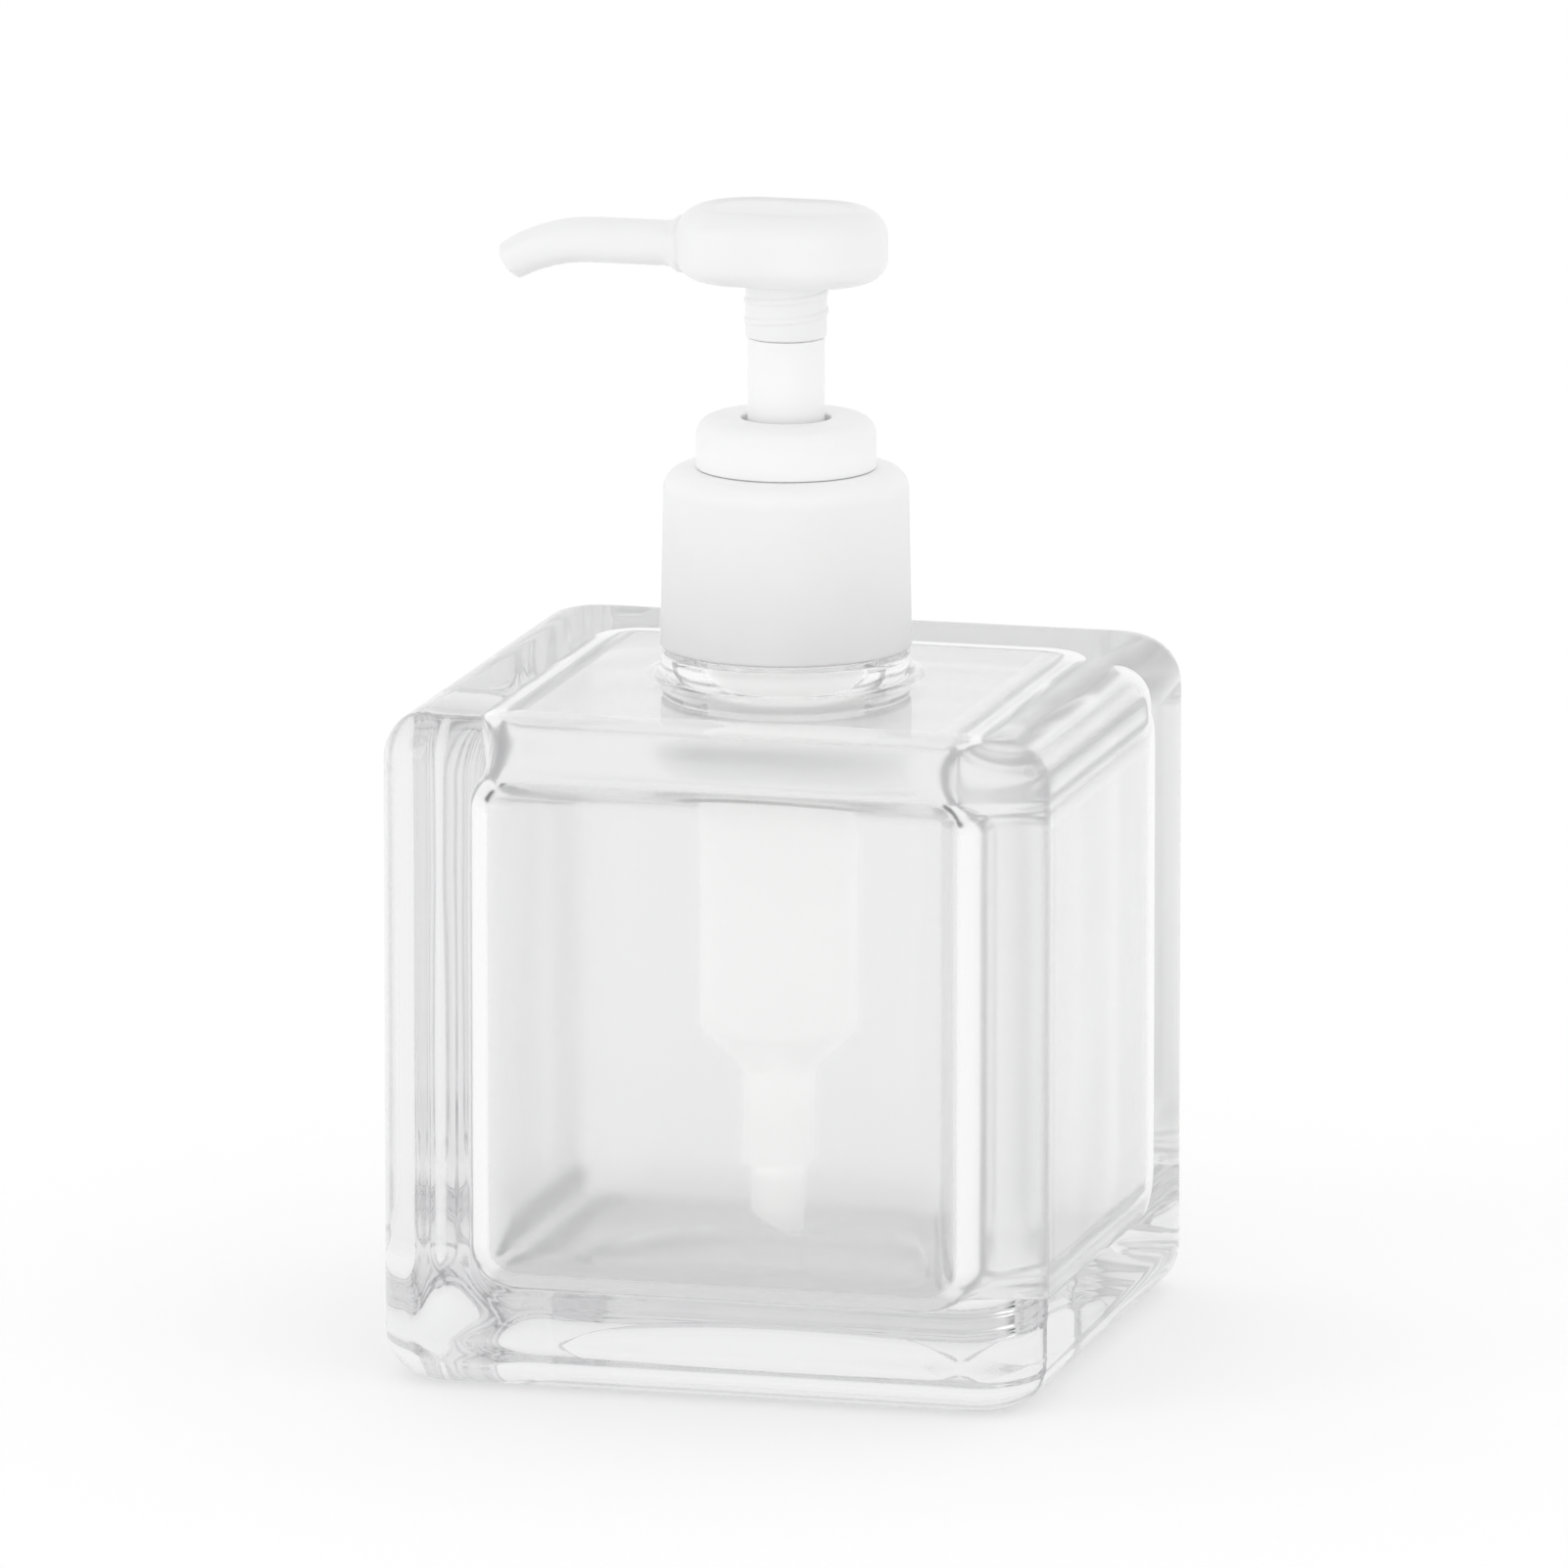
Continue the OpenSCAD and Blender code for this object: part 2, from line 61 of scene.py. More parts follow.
def outline(corners, closed):
    """Polyline through corners (a, z, radius), in mm, as columns (a, z). Each corner gives way to the
    arc of its radius that touches both its sides: the arc's middle lies on the corner's bisector, at
    the radius over the sine of half the corner's angle. One more point on each side just outside the
    arc keeps smooth shading on the arc."""
    pts = np.array([(a, z) for a, z, _ in corners], float)
    n = len(pts)
    out = []
    for i, (_, _, r) in enumerate(corners):
        p = pts[i]
        if not closed and i in (0, n - 1):
            out.append(p[None])
            continue
        to_prev, to_next = pts[i - 1] - p, pts[(i + 1) % n] - p
        reach_prev, reach_next = np.linalg.norm(to_prev), np.linalg.norm(to_next)
        u, v = to_prev / reach_prev, to_next / reach_next
        half = math.acos(np.clip(u @ v, -1, 1)) / 2
        cut = r / math.tan(half)
        centre = p + (u + v) / np.linalg.norm(u + v) * (r / math.sin(half))
        a, b = p + u * cut - centre, p + v * cut - centre
        t = np.linspace(0, 1, ARC_STEPS + 1)[:, None]
        sweep = math.pi - 2 * half
        arc = centre + (np.sin((1 - t) * sweep) * a + np.sin(t * sweep) * b) / math.sin(sweep)
        margin = min(SOFT_EDGE, 0.2 * reach_prev, 0.2 * reach_next)
        out.append(np.vstack([p + u * (cut + margin), arc, p + v * (cut + margin)]))
    return np.vstack(out)


def grid_faces(rows, cols, close_rows, close_cols, start):
    """Quads between neighbours of a grid of rows by cols vertices, numbered from start: row i and the
    next, column j and the next, where a closed direction counts on from its last back to its first."""
    i = np.arange(rows if close_rows else rows - 1)[:, None]
    j = np.arange(cols if close_cols else cols - 1)[None, :]
    i2, j2 = (i + 1) % rows, (j + 1) % cols
    quads = np.stack([i * cols + j, i * cols + j2, i2 * cols + j2, i2 * cols + j], axis=-1)
    return quads.reshape(-1, 4) + start


def piece(name, grids, body, material, stands_for):
    """One smooth mesh made of grids (points in mm, close_rows, close_cols). Doubles at poles are
    merged and faces turned outwards. It rides on body, and stands for the CAD nodes of stands_for."""
    points, faces, start = [], [], 0
    for grid, close_rows, close_cols in grids:
        rows, cols = grid.shape[:2]
        points.append(grid.reshape(-1, 3) * MM)
        faces.append(grid_faces(rows, cols, close_rows, close_cols, start))
        start += rows * cols
    mesh = bpy.data.meshes.new(name)
    mesh.from_pydata(np.vstack(points).tolist(), [], np.vstack(faces).tolist())
    work = bmesh.new()
    work.from_mesh(mesh)
    bmesh.ops.remove_doubles(work, verts=work.verts, dist=SAME_POINT)
    bmesh.ops.dissolve_degenerate(work, edges=work.edges, dist=NO_LENGTH)
    bmesh.ops.recalc_face_normals(work, faces=work.faces)
    work.to_mesh(mesh)
    work.free()
    mesh.shade_smooth()
    obj = bpy.data.objects.new(name, mesh)
    bpy.context.scene.collection.objects.link(obj)
    mesh.materials.append(material)
    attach(obj, body)
    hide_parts(*stands_for)
    return obj


def ridge(angle, z, foot, pitch, turns, root_w, crest_w):
    """Height, 0 to 1, of a right-handed thread's ridge at each angle (degrees) and z (mm): a trapezoid
    root_w wide at its root and crest_w at its crest, whose middle climbs from the height foot by pitch
    a turn and which fades in at its start and out at its end."""
    total = np.zeros(np.broadcast(angle, z).shape)
    for turn in range(int(math.ceil(turns)) + 1):
        along = (angle % 360) / 360 + turn
        off = np.abs(z - foot - pitch * along)
        flank = np.clip((root_w / 2 - off) / ((root_w - crest_w) / 2), 0, 1)
        fade = np.clip(np.minimum(along, turns - along) / FADE_TURNS, 0, 1)
        total = np.maximum(total, flank * fade * (along <= turns))
    return total


def dense(profile, side, step=THREAD_STEP):
    """The profile with points at even spaces of about step along its upright wall at radius side, so
    that a thread can be raised there."""
    out = []
    for i, p in enumerate(profile):
        out.append(p[None])
        q = profile[(i + 1) % len(profile)]
        rise = abs(q[1] - p[1])
        if abs(p[0] - side) < ON_WALL and abs(q[0] - side) < ON_WALL and rise > step:
            n = int(rise / step)
            out.append(p + (q - p) * np.linspace(0, 1, n + 1)[1:-1, None])
    return np.vstack(out)


def turned(profile, cols=192, thread=None):
    """The profile (r, z) carried round the Z axis: x is r times the cosine of the angle and y r times
    its sine. thread = (side, height, start angle, ridge's values) adds height times ridge to r on the
    wall whose radius is side; a height below 0 raises the thread inwards."""
    angle = np.linspace(0, 2 * math.pi, cols, endpoint=False)
    r = np.repeat(profile[:, :1], cols, axis=1)
    z = np.repeat(profile[:, 1:], cols, axis=1)
    if thread:
        side, height, start, shape = thread
        on_wall = np.abs(profile[:, :1] - side) < ON_WALL
        r = r + on_wall * height * ridge(np.degrees(angle)[None] - start, z, *shape)
    return np.stack([r * np.cos(angle), r * np.sin(angle), z], axis=-1)


def turned_piece(name, corners, body, material, stands_for, cols=192, thread=None):
    """A piece whose rounded outline, a closed section beside the Z axis, is carried round that axis."""
    profile = outline(corners, True)
    if thread:
        profile = dense(profile, thread[0])
    piece(name, [(turned(profile, cols, thread), True, True)], body, material, stands_for)


def square_ring(half, corner, z, run=22, bend=14):
    """Points round a square with rounded corners, at height z: at each corner, that of an inner square
    plus the corner radius times a direction, and between corners even steps. Every such ring has
    the same count, so that rings of any size join point to point."""
    inner = half - corner
    ring = []
    for k in range(4):
        turn = math.pi / 2 * k
        a = np.linspace(-math.pi / 4, math.pi / 4, bend + 1) + turn + math.pi / 4
        at = np.array([[math.cos(turn), -math.sin(turn)], [math.sin(turn), math.cos(turn)]])
        corner_at = at @ np.array([inner, inner])
        arc = corner_at + corner * np.stack([np.cos(a), np.sin(a)], axis=-1)
        next_at = at @ np.array([-inner, inner])
        last = np.array([math.cos(a[-1]), math.sin(a[-1])]) * corner
        t = np.linspace(0, 1, run + 1)[1:-1, None]
        straight = corner_at + last + (next_at - corner_at) * t
        ring += [arc, straight]
    ring = np.vstack(ring)
    return np.column_stack([ring, np.full(len(ring), z)])


def stadium_ring(r, z, left, right, bend=40, run=12):
    """Points at height z round two half circles of radius r about x = left and x = right, joined by
    straights."""
    a = np.linspace(-math.pi / 2, math.pi / 2, bend + 1)
    t = np.linspace(0, 1, run + 1)[1:-1]
    across = (right - left) * t
    ring = np.vstack([
        np.column_stack([right + r * np.cos(a), r * np.sin(a)]),
        np.column_stack([right - across, np.full(len(t), r)]),
        np.column_stack([left - r * np.cos(a), -r * np.sin(a)]),
        np.column_stack([left + across, np.full(len(t), -r)])])
    return np.column_stack([ring, np.full(len(ring), z)])


def swept(path, radius, cols=64):
    """A circle of radius[i] about path[i], a curve in the XZ plane: each point is the path's plus the
    radius times the cosine along the path's normal and times the sine along Y."""
    slope = np.gradient(path, axis=0)
    slope /= np.linalg.norm(slope, axis=1)[:, None]
    up = np.column_stack([-slope[:, 1], slope[:, 0]])
    a = np.linspace(0, 2 * math.pi, cols, endpoint=False)
    x = path[:, :1] + up[:, :1] * radius[:, None] * np.cos(a)
    z = path[:, 1:] + up[:, 1:] * radius[:, None] * np.cos(a)
    y = radius[:, None] * np.sin(a) * np.ones_like(x)
    return np.stack([x, y, z], axis=-1)


# ---------------------------------------------------------------- materials


BROAD_MM = 12.0      # patches of slightly different tone in one moulding
WAVE_MM = 30.0       # slow waves that a mould leaves in pressed glass
WAVE_DEPTH = 0.15
GLASS_IOR = 1.51     # soda-lime glass
SKIN_ROUGHNESS = 0.16
GLASS_DENSITY = 7.0  # strength of the glass's own grey, for each metre that light crosses


def linear(hex_colour):
    """An sRGB hex colour as linear red, green, blue and alpha 1."""
    parts = [int(hex_colour[i:i + 2], 16) / 255 for i in (1, 3, 5)]
    return tuple(c / 12.92 if c <= 0.04045 else ((c + 0.055) / 1.055) ** 2.4 for c in parts) + (1.0,)


def add(tree, kind, settings=(), inputs=(), links=()):
    """A node with its settings, its sockets' values and the links into it."""
    node = tree.nodes.new(kind)
    for key, value in dict(settings).items():
        setattr(node, key, value)
    for key, value in dict(inputs).items():
        node.inputs[key].default_value = value
    for key, source in dict(links).items():
        tree.links.new(source, node.inputs[key])
    return node


def surface(name, colour, low, high, grain_mm, bump_mm, **inputs):
    """A moulded or drawn material. Its colour drifts between two tones in patches of BROAD_MM; its
    roughness goes from low to high, and a bump bump_mm deep follows, with a grain of grain_mm."""
    material = bpy.data.materials.new(name)
    material.use_nodes = True
    tree = material.node_tree
    tree.nodes.clear()
    place = add(tree, "ShaderNodeTexCoord")
    broad = add(tree, "ShaderNodeTexNoise", inputs={"Scale": 1 / (BROAD_MM * MM), "Detail": 2.0},
                links={"Vector": place.outputs["Object"]})
    grain = add(tree, "ShaderNodeTexNoise", inputs={"Scale": 1 / (grain_mm * MM), "Detail": 3.0},
                links={"Vector": place.outputs["Object"]})
    tones = add(tree, "ShaderNodeValToRGB", links={"Fac": broad.outputs["Fac"]})
    tones.color_ramp.elements[0].position, tones.color_ramp.elements[1].position = 0.35, 0.65
    tones.color_ramp.elements[0].color = linear(colour[0])
    tones.color_ramp.elements[1].color = linear(colour[1])
    rough = add(tree, "ShaderNodeMapRange", inputs={"To Min": low, "To Max": high},
                links={"Value": grain.outputs["Fac"]})
    bump = add(tree, "ShaderNodeBump", inputs={"Strength": 1.0, "Distance": bump_mm * MM},
               links={"Height": grain.outputs["Fac"]})
    shader = add(tree, "ShaderNodeBsdfPrincipled", inputs=inputs,
                 links={"Base Color": tones.outputs["Color"], "Roughness": rough.outputs["Result"],
                        "Normal": bump.outputs["Normal"]})
    add(tree, "ShaderNodeOutputMaterial", links={"Surface": shader.outputs["BSDF"]})
    return material


def clear_glass():
    """Pressed soda-lime glass. Outside it is fire-polished and clear, with the slow waves of a mould's
    face. The skin of its cavity, which the attribute inner_skin marks, is a little matt and grey, so
    that what lies inside shows softly. A faint grey in its depth darkens the thick edges."""
    material = bpy.data.materials.new("pressed_soda_lime_glass")
    material.use_nodes = True
    tree = material.node_tree
    tree.nodes.clear()
    place = add(tree, "ShaderNodeTexCoord")
    waves = add(tree, "ShaderNodeTexNoise", inputs={"Scale": 1 / (WAVE_MM * MM), "Detail": 1.0},
                links={"Vector": place.outputs["Object"]})
    bump = add(tree, "ShaderNodeBump", inputs={"Strength": 1.0, "Distance": WAVE_DEPTH * MM},
               links={"Height": waves.outputs["Fac"]})
    inner = add(tree, "ShaderNodeAttribute", settings={"attribute_name": "inner_skin"})
    rough = add(tree, "ShaderNodeMapRange", inputs={"To Min": 0.0, "To Max": SKIN_ROUGHNESS},
                links={"Value": inner.outputs["Fac"]})
    tint = add(tree, "ShaderNodeValToRGB", links={"Fac": inner.outputs["Fac"]})
    tint.color_ramp.elements[0].color = linear("#ffffff")
    tint.color_ramp.elements[1].color = linear("#f0f0f0")
    shader = add(tree, "ShaderNodeBsdfPrincipled", inputs={"IOR": GLASS_IOR, "Transmission Weight": 1.0},
                 links={"Base Color": tint.outputs["Color"], "Roughness": rough.outputs["Result"],
                        "Normal": bump.outputs["Normal"]})
    depth = add(tree, "ShaderNodeVolumeAbsorption",
                inputs={"Color": linear("#e6e6e7"), "Density": GLASS_DENSITY})
    add(tree, "ShaderNodeOutputMaterial",
        links={"Surface": shader.outputs["BSDF"], "Volume": depth.outputs["Volume"]})
    return material


# Polypropylene, injection moulded in a polished tool: soft white, satin gloss, faintly translucent.
white_pp = surface("moulded_white_polypropylene", ("#fafafa", "#f7f7f7"), 0.28, 0.36, 0.6, 0.004,
                   **{"IOR": 1.49, "Subsurface Weight": 0.15, "Subsurface Radius": (1.0, 0.95, 0.9),
                      "Subsurface Scale": 0.8 * MM})
# The closure, its ring and the stem: a fine spark-eroded grain from another tool. Their tone, whiter than
# the head's, is painted light: it lifts these parts out of the shade they sit in, up to the head's
# brightness.
brightened_closure_pp = surface("grained_polypropylene_painted_brighter", ("#ffffff", "#fcfcfc"), 0.4, 0.52, 0.35, 0.012,
                     **{"IOR": 1.49, "Subsurface Weight": 0.1, "Subsurface Radius": (1.0, 0.95, 0.9),
                        "Subsurface Scale": 0.6 * MM})
# The same plastic without pigment: milky. Its glow stands for the light that such thin walls let
# through from behind, so the pump shows as a pale column in the glass.
natural_pp = surface("natural_polypropylene", ("#fdfdfc", "#fafaf9"), 0.3, 0.42, 0.8, 0.006,
                     **{"IOR": 1.49, "Subsurface Weight": 0.1, "Subsurface Radius": (1.0, 0.97, 0.9),
                        "Subsurface Scale": 0.5 * MM, "Emission Color": linear("#ffffff"),
                        "Emission Strength": 0.4})
# Low-density polyethylene seals: softer, waxy and slightly yellow.
soft_pe = surface("waxy_polyethylene", ("#ecebe4", "#e4e2da"), 0.38, 0.5, 0.5, 0.006,
                  **{"IOR": 1.51, "Subsurface Weight": 0.2, "Subsurface Scale": 0.8 * MM})
# Closed-cell foam: matt, its cells 0.3 mm across, drawn as a rough bump.
pe_foam = surface("closed_cell_foam", ("#f0f0f0", "#e4e4e4"), 0.8, 0.95, 0.3, 0.06,
                  **{"IOR": 1.45, "Sheen Weight": 0.1})
# Stainless spring wire, drawn: bright, with fine die marks.
spring_wire = surface("drawn_stainless_wire", ("#c4c5c6", "#b4b5b7"), 0.2, 0.34, 0.15, 0.004,
                      **{"Metallic": 1.0})
# Stainless valve ball, ground and polished.
ball_steel = surface("polished_stainless_ball", ("#d0d2d4", "#c8cacc"), 0.06, 0.12, 0.2, 0.001,
                     **{"Metallic": 1.0})
glass = clear_glass()


# ---------------------------------------------------------------- bottle

# Sizes in mm. A square's size is half its width.
BODY, CORNER, EDGE = 41.5, 9.0, 6.0
SHOULDER, MOUTH = 82.5, 103.9
WALL_LEVELS = (24, 42, 60)
RECESS = [(0, 1), (12, 1), (22.6, 1), (23.2, 0.9), (24.6, 0.2), (25, 0), (25.4, 0)]  # under the base
CAVITY, CAVITY_CORNER, CAVITY_EDGE = 31.5, 6.5, 5.5
FLOOR, CEILING = 10.7, 75.5
CAVITY_LEVELS = (50, 36, 24)
FLOOR_RINGS = (16, 6, 0)
NECK, NECK_BORE = 12.6, 10.3
COLLAR, COLLAR_TOP = 15.2, 85.2
OUTER_FLAT, INNER_FLAT = 0.4, 0.3  # how far past a rounded edge a face's own first ring lies
PITCH = 4.23                       # of the closure's thread
# A thread is (height of its start, pitch, turns, width at its root, width at its crest).
NECK_THREAD = (95.2, PITCH, 1.5, 2.2, 1.0)
NECK_THREAD_HEIGHT = 1.05


def rounded_levels(half, corner, edge, z, upwards, steps=9):
    """Square rings up a quarter-round edge that ends at the flat z: each level is the square drawn in
    by the edge radius times one minus the cosine, its corner drawn in as much."""
    t = np.linspace(0, math.pi / 2, steps + 1)
    side = 1 if upwards else -1
    rings = [square_ring(half - edge * (1 - math.cos(a)), corner - edge * (1 - math.cos(a)),
                         z + side * (edge * math.sin(a) - edge)) for a in t]
    return rings if upwards else rings[::-1]


def round_ring(r, z, like):
    """A circle of radius r whose points stand at the same bearings as those of the ring like."""
    bearing = np.arctan2(like[:, 1], like[:, 0])
    return np.column_stack([r * np.cos(bearing), r * np.sin(bearing), np.full(len(like), z)])


def bottle_surface():
    """Rings from the middle of the base, out, up the walls, in over the shoulder, up the neck,
    down its bore, round the cavity and in to the middle of its floor: one closed skin. On the neck,
    each ring's radius grows by the thread's height times its ridge."""
    outer_in, inner_in = EDGE + OUTER_FLAT, CAVITY_EDGE + INNER_FLAT
    under = square_ring(BODY - EDGE, CORNER - EDGE, 0)
    floor_edge = square_ring(CAVITY - CAVITY_EDGE, CAVITY_CORNER - CAVITY_EDGE, CEILING)
    rings = [round_ring(r, z, under) for r, z in RECESS]
    rings += [square_ring(BODY - outer_in, CORNER - outer_in, 0)]
    rings += rounded_levels(BODY, CORNER, EDGE, 0, False)
    rings += [square_ring(BODY, CORNER, z) for z in (outer_in, *WALL_LEVELS, SHOULDER - outer_in)]
    rings += rounded_levels(BODY, CORNER, EDGE, SHOULDER, True)
    rings += [square_ring(BODY - outer_in, CORNER - outer_in, SHOULDER)]
    # The outline's two ends only give its directions there; they are no rings.
    start, end = (2 * COLLAR, SHOULDER, 0), (2 * NECK_BORE, CEILING, 0)
    neck = outline([start, (COLLAR, SHOULDER, 1.9), (COLLAR, COLLAR_TOP, 0.25), (NECK, COLLAR_TOP, 0.2),
                    (NECK, MOUTH, 0.5), (NECK_BORE, MOUTH, 0.4), (NECK_BORE, CEILING, 1.2), end], False)
    like = rings[-1]
    bearing = np.degrees(np.arctan2(like[:, 1], like[:, 0]))
    for r, z in dense(neck, NECK)[1:-1]:
        ring = round_ring(r, z, like)
        if abs(r - NECK) < ON_WALL:
            rise = ridge(bearing, np.full(len(ring), z), *NECK_THREAD)
            ring[:, :2] *= (1 + rise * NECK_THREAD_HEIGHT / NECK)[:, None]
        rings.append(ring)
    rings += [square_ring(CAVITY - inner_in, CAVITY_CORNER - inner_in, CEILING)]
    rings += rounded_levels(CAVITY, CAVITY_CORNER, CAVITY_EDGE, CEILING, True)[::-1]
    rings += [square_ring(CAVITY, CAVITY_CORNER, z) for z in
              (CEILING - CAVITY_EDGE - OUTER_FLAT, *CAVITY_LEVELS, FLOOR + CAVITY_EDGE + OUTER_FLAT)]
    rings += rounded_levels(CAVITY, CAVITY_CORNER, CAVITY_EDGE, FLOOR, False)[::-1]
    rings += [square_ring(CAVITY - inner_in, CAVITY_CORNER - inner_in, FLOOR)]
    rings += [round_ring(r, FLOOR, floor_edge) for r in FLOOR_RINGS]
    return np.stack(rings)


bottle = piece("bottle_glass", [(bottle_surface(), False, True)], "bottle", glass,
               ["bottle"])


def mark_inner_skin(mesh):
    """Gives every point of the cavity's skin 1 and every other point 0, in the attribute inner_skin."""
    at = np.empty(len(mesh.vertices) * 3)
    mesh.vertices.foreach_get("co", at)
    x, y, z = at.reshape(-1, 3).T / MM
    slack = 0.1
    skin = np.maximum(abs(x), abs(y)) < CAVITY + slack
    skin &= (z > FLOOR - slack) & (z < CEILING + slack)
    mesh.attributes.new("inner_skin", "FLOAT", "POINT").data.foreach_set("value", skin.astype(float))


mark_inner_skin(bottle.data)


# ---------------------------------------------------------------- closure, chaplet and stem

# Outlines are corners (radius from the axis, height, rounding), in mm.
CAP_FOOT, CAP_TOP, CAP_CEILING = 85.9, 107.9, 106.5
CAP_LOW_R, CAP_HIGH_R, CAP_BORE, CAP_HOLE, CAP_CHAMFER = 15.35, 14.95, 13.9, 9.65, 1.2
CAP_THREAD = (94.255, PITCH, 1.25, 1.8, 0.8)
CAP_THREAD_HEIGHT = 1.0
CAP_THREAD_START = 60  # degrees

turned_piece("screw_closure", [
    (CAP_LOW_R, CAP_FOOT, 0.35), (CAP_HIGH_R, CAP_TOP, 2.6), (CAP_HOLE, CAP_TOP, 0.3),
    (CAP_HOLE, CAP_CEILING, 0.2), (CAP_BORE - CAP_CHAMFER, CAP_CEILING, 0.4),
    (CAP_BORE, CAP_CEILING - CAP_CHAMFER, 0.3), (CAP_BORE, CAP_FOOT, 0.3)],
    "closure", brightened_closure_pp, ["closure"],
    thread=(CAP_BORE, -CAP_THREAD_HEIGHT, CAP_THREAD_START, CAP_THREAD))

RING_R, RING_FOOT, RING_TOP, RING_CEILING, RING_WALL = 11.0, 108.0, 114.2, 112.8, 1.4
GUIDE_R, GUIDE_BORE, GUIDE_FOOT, GUIDE_STEP = 6.9, 4.85, 100.0, 106.5
SKIRT_R, SKIRT_TOP = 8.15, 102.0
LOCK_PITCH, LOCK_BORE = 2.4, 5.45
LOCK_THREAD = (108.4, LOCK_PITCH, 1.25, 0.9, 0.5)
LOCK_THREAD_HEIGHT = 0.43

turned_piece("lock_ring", [
    (RING_R, RING_FOOT, 0.15), (RING_R, RING_TOP, 2.2), (LOCK_BORE, RING_TOP, 0.35),
    (LOCK_BORE, GUIDE_STEP, 0.1), (GUIDE_BORE, GUIDE_STEP, 0.1), (GUIDE_BORE, GUIDE_FOOT, 0.2),
    (SKIRT_R, GUIDE_FOOT, 0.2), (SKIRT_R, SKIRT_TOP, 0.1), (GUIDE_R, SKIRT_TOP, 0.2),
    (GUIDE_R, RING_CEILING, 0.3), (RING_R - RING_WALL, RING_CEILING, 0.2),
    (RING_R - RING_WALL, RING_FOOT, 0.15)],
    "engine", brightened_closure_pp, ["chaplet"],
    thread=(LOCK_BORE, -LOCK_THREAD_HEIGHT, 0, LOCK_THREAD))

STEM_R, STEM_FOOT, STEM_STEP, STEM_TOP = 4.7, 98.9, 124.0, 133.0
PEG_R, PEG_BORE = 3.3, 2.0  # the stem's thinner top, which the head snaps on
BEAD, BEAD_HALF, BEAD_Z = 0.25, 0.3, 130.4
ROD_SOCKET, SOCKET_TOP = 3.0, 109.9

turned_piece("pump_stem", [
    (STEM_R, STEM_FOOT, 0.15), (STEM_R, STEM_STEP, 0.1), (PEG_R, STEM_STEP, 0.05),
    (PEG_R, BEAD_Z - BEAD_HALF, 0.02), (PEG_R + BEAD, BEAD_Z, 0.15), (PEG_R, BEAD_Z + BEAD_HALF, 0.02),
    (PEG_R, STEM_TOP, 0.15), (PEG_BORE, STEM_TOP, 0.15), (PEG_BORE, SOCKET_TOP, 0.05),
    (ROD_SOCKET, SOCKET_TOP, 0.05), (ROD_SOCKET, STEM_FOOT, 0.15)],
    "plunger", brightened_closure_pp, ["stem"], cols=128)


# ---------------------------------------------------------------- head

HEAD_FOOT, HEAD_TOP = 131.0, 140.0
HEAD_LEFT, HEAD_RIGHT, HEAD_R = -4.1, 3.0, 9.5  # ends of the head's middle line, and its half width
LOW_EDGE, HIGH_EDGE, CROWN_R = 3.0, 3.6, 46.0
CROWN_START, CROWN_ANGLE = 5.4, 0.13            # where the upper edge meets the crown, and how steeply
FOOT_RING, NEAR_AXIS = 3.0, 0.001
SPOUT_Z, SPOUT_ROOT, SPOUT_START = 134.9, -10.0, -24.1
SPOUT_BEND, SPOUT_SLOPE = 20.0, math.radians(33)
SPOUT_R, SPOUT_BORE = 2.8, 1.7
SWELL, SWELL_RUN, SWELL_SPREAD = 0.75, 3.2, 0.7  # the fillet where the spout meets the head
TAPER, TAPER_RUN = 0.35, 14.0
LIP, LIP_RUN = 0.45, 0.7
SLEEVE_R, SLEEVE_BORE, SLEEVE_FOOT, SLEEVE_TOP = 4.95, 3.35, 124.1, 132.2
SLEEVE_THREAD = (124.8, LOCK_PITCH, 2.2, 0.9, 0.5)
SLEEVE_THREAD_HEIGHT, SLEEVE_STEP = 0.2, 0.12


def head_profile(steps=10):
    """Half section of the head's pebble: a flat foot, a quarter circle for the lower edge, a circle
    nearly as long for the upper edge, and a crown whose height falls with the distance from the
    middle as a circle of radius CROWN_R does."""
    a = np.linspace(0, math.pi / 2, steps)
    low = np.column_stack([HEAD_R - LOW_EDGE * (1 - np.sin(a)), HEAD_FOOT + LOW_EDGE * (1 - np.cos(a))])
    a = np.linspace(0, math.pi / 2 - CROWN_ANGLE, steps)
    high = np.column_stack([HEAD_R - HIGH_EDGE * (1 - np.cos(a)), HEAD_TOP - HIGH_EDGE * (1 - np.sin(a))])
    r = np.linspace(CROWN_START, 0.0, 6)
    crown = np.column_stack([r, HEAD_TOP - CROWN_R + np.sqrt(CROWN_R ** 2 - r ** 2)])
    return np.vstack([[HEAD_R - LOW_EDGE - OUTER_FLAT, HEAD_FOOT], low, high, crown])


def head_surface():
    """The pebble's section carried round a stadium, closed across its foot by smaller rings."""
    foot = [(0.0, HEAD_FOOT), (FOOT_RING, HEAD_FOOT)]
    section = np.vstack([foot, head_profile()])
    return np.stack([stadium_ring(max(r, NEAR_AXIS), z, HEAD_LEFT, HEAD_RIGHT) for r, z in section])


piece("head_pebble", [(head_surface(), False, True)], "head", white_pp, ["head_cover"])


